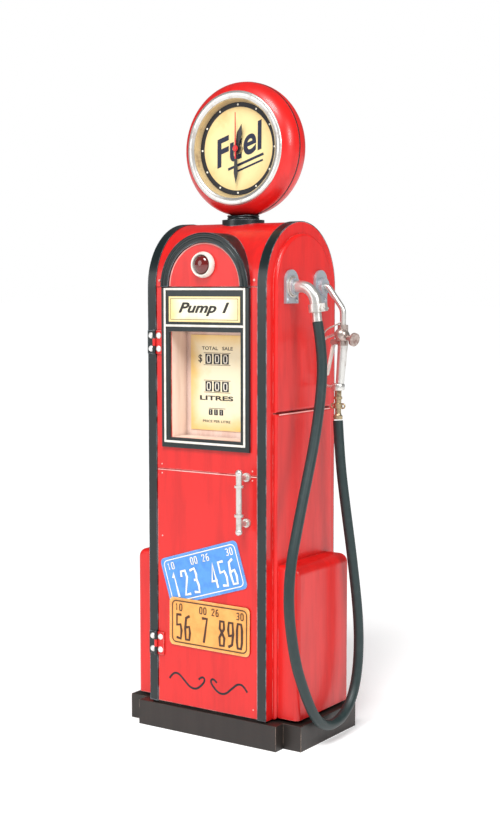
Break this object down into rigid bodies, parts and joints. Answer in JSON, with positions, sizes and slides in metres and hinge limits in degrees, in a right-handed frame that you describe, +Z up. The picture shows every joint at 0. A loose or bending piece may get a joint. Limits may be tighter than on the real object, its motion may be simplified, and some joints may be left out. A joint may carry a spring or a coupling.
{
  "type": "gas pump",
  "caption": "Painted sheet-metal fuel pump on a plinth, with a clock globe, a hinged door, and a hose with its nozzle hung on the side.",
  "frame": {"origin": "centre of the plinth's underside, where it rests", "axes": "+Z up, -Y out of the door's face, +X towards the hose side"},
  "size_m": [0.2216, 0.1532, 0.6438],
  "materials": {
    "red_paint": "hand-painted gloss red, worn edges",
    "black_paint": "green-black trim paint, dry-brushed edges",
    "plinth_paint": "dark brown-black, worn edges",
    "silver_metal": "silvered, slightly tarnished",
    "cast_metal": "cast, rust-stained",
    "brass": "aged brass",
    "zinc": "zinc plated",
    "cream_card": "aged printed card",
    "cream_paint": "cream enamel",
    "blue_enamel": "blue enamel plate",
    "orange_enamel": "orange enamel plate",
    "red_lens": "moulded jewel lens",
    "hose_rubber": "satin rubber",
    "movement_plastic": "moulded black",
    "battery_jacket": "printed sleeve",
    "hand_paint": "black lacquer",
    "red_hand_paint": "red lacquer",
    "base_fibre": "fibreboard",
    "magnet_case": "moulded white"
  },
  "bodies": {
    "root": {"plinth": "plinth_paint", "base_board": "base_fibre", "floor_plate": "plinth_paint", "left_side_panel": "red_paint", "right_side_panel": "red_paint", "barrel_roof": "red_paint", "back_panel": "red_paint", "back_screws": "zinc", "left_edge_band": "black_paint", "right_edge_band": "black_paint", "left_saddle_box": "red_paint", "right_saddle_box": "red_paint", "dormer_hood": "black_paint", "dormer_face": "red_paint", "lamp_ring": "silver_metal", "lamp_lens": "red_lens", "neck_collar": "black_paint", "neck_fixing": "zinc", "globe_front_shell": "red_paint", "globe_rear_shell": "red_paint", "clock_bezel": "silver_metal", "dial_wall": "cream_paint", "dial_face": "cream_card", "movement_case": "movement_plastic", "battery": "battery_jacket", "dial_nut": "brass", "outlet_flange": "cast_metal", "socket_flange": "cast_metal", "flange_screws": "zinc", "outlet_elbow": "silver_metal", "outlet_ferrule": "silver_metal", "hose_clamp": "cast_metal", "hose": "hose_rubber", "hinge_frame_leaves": "red_paint", "hinge_pins": "zinc", "hinge_frame_rivets": "silver_metal", "catch_magnet": "magnet_case"},
    "door": {"door_panel": "red_paint", "display_box": "cream_paint", "register_card": "cream_card", "window_frame": "black_paint", "window_bead": "silver_metal", "sign_panel": "cream_card", "door_handle": "silver_metal", "blue_plate": "blue_enamel", "orange_plate": "orange_enamel", "hinge_door_leaves": "red_paint", "hinge_door_rivets": "silver_metal", "striker_plate": "zinc"},
    "hour_hand": {"hour_hand": "hand_paint"},
    "minute_hand": {"minute_hand": "hand_paint"},
    "second_hand": {"second_hand": "red_hand_paint"},
    "set_knob": {"set_knob": "movement_plastic"},
    "nozzle": {"nozzle_spout": "silver_metal", "valve_body": "cast_metal", "valve_cap": "cast_metal", "nozzle_grip": "cast_metal", "hose_swivel": "brass", "nozzle_guard": "cast_metal"},
    "lever": {"nozzle_lever": "cast_metal"}
  },
  "joints": [
    {"name": "door_hinge", "type": "hinge", "parent": "root", "child": "door", "pos_m": [-0.061, -0.0649, 0.2], "axis": [0, 0, -1], "range_deg": [0, 110]},
    {"name": "second_turn", "type": "hinge", "parent": "root", "child": "second_hand", "pos_m": [0, 0, 0.578], "axis": [0, 1, 0], "continuous": true},
    {"name": "minute_turn", "type": "hinge", "parent": "root", "child": "minute_hand", "pos_m": [0, 0, 0.578], "axis": [0, 1, 0], "continuous": true},
    {"name": "hour_turn", "type": "hinge", "parent": "root", "child": "hour_hand", "pos_m": [0, 0, 0.578], "axis": [0, 1, 0], "continuous": true},
    {"name": "knob_turn", "type": "hinge", "parent": "root", "child": "set_knob", "pos_m": [0, 0, 0.578], "axis": [0, 1, 0], "continuous": true},
    {"name": "nozzle_pull", "type": "slide", "parent": "root", "child": "nozzle", "axis": [1, 0, 0], "range_m": [0, 0.03]},
    {"name": "lever_squeeze", "type": "hinge", "parent": "nozzle", "child": "lever", "pos_m": [0.0915, 0.026, 0.389], "axis": [0, -1, 0], "range_deg": [0, 10], "stiffness_Nm_per_rad": 0.02, "springref_deg": -5.73}
  ],
  "couplings": [
    {"joint": "minute_turn", "follows": "second_turn", "ratio": 0.016667},
    {"joint": "hour_turn", "follows": "second_turn", "ratio": 0.0013889},
    {"joint": "knob_turn", "follows": "second_turn", "ratio": 0.016667}
  ]
}
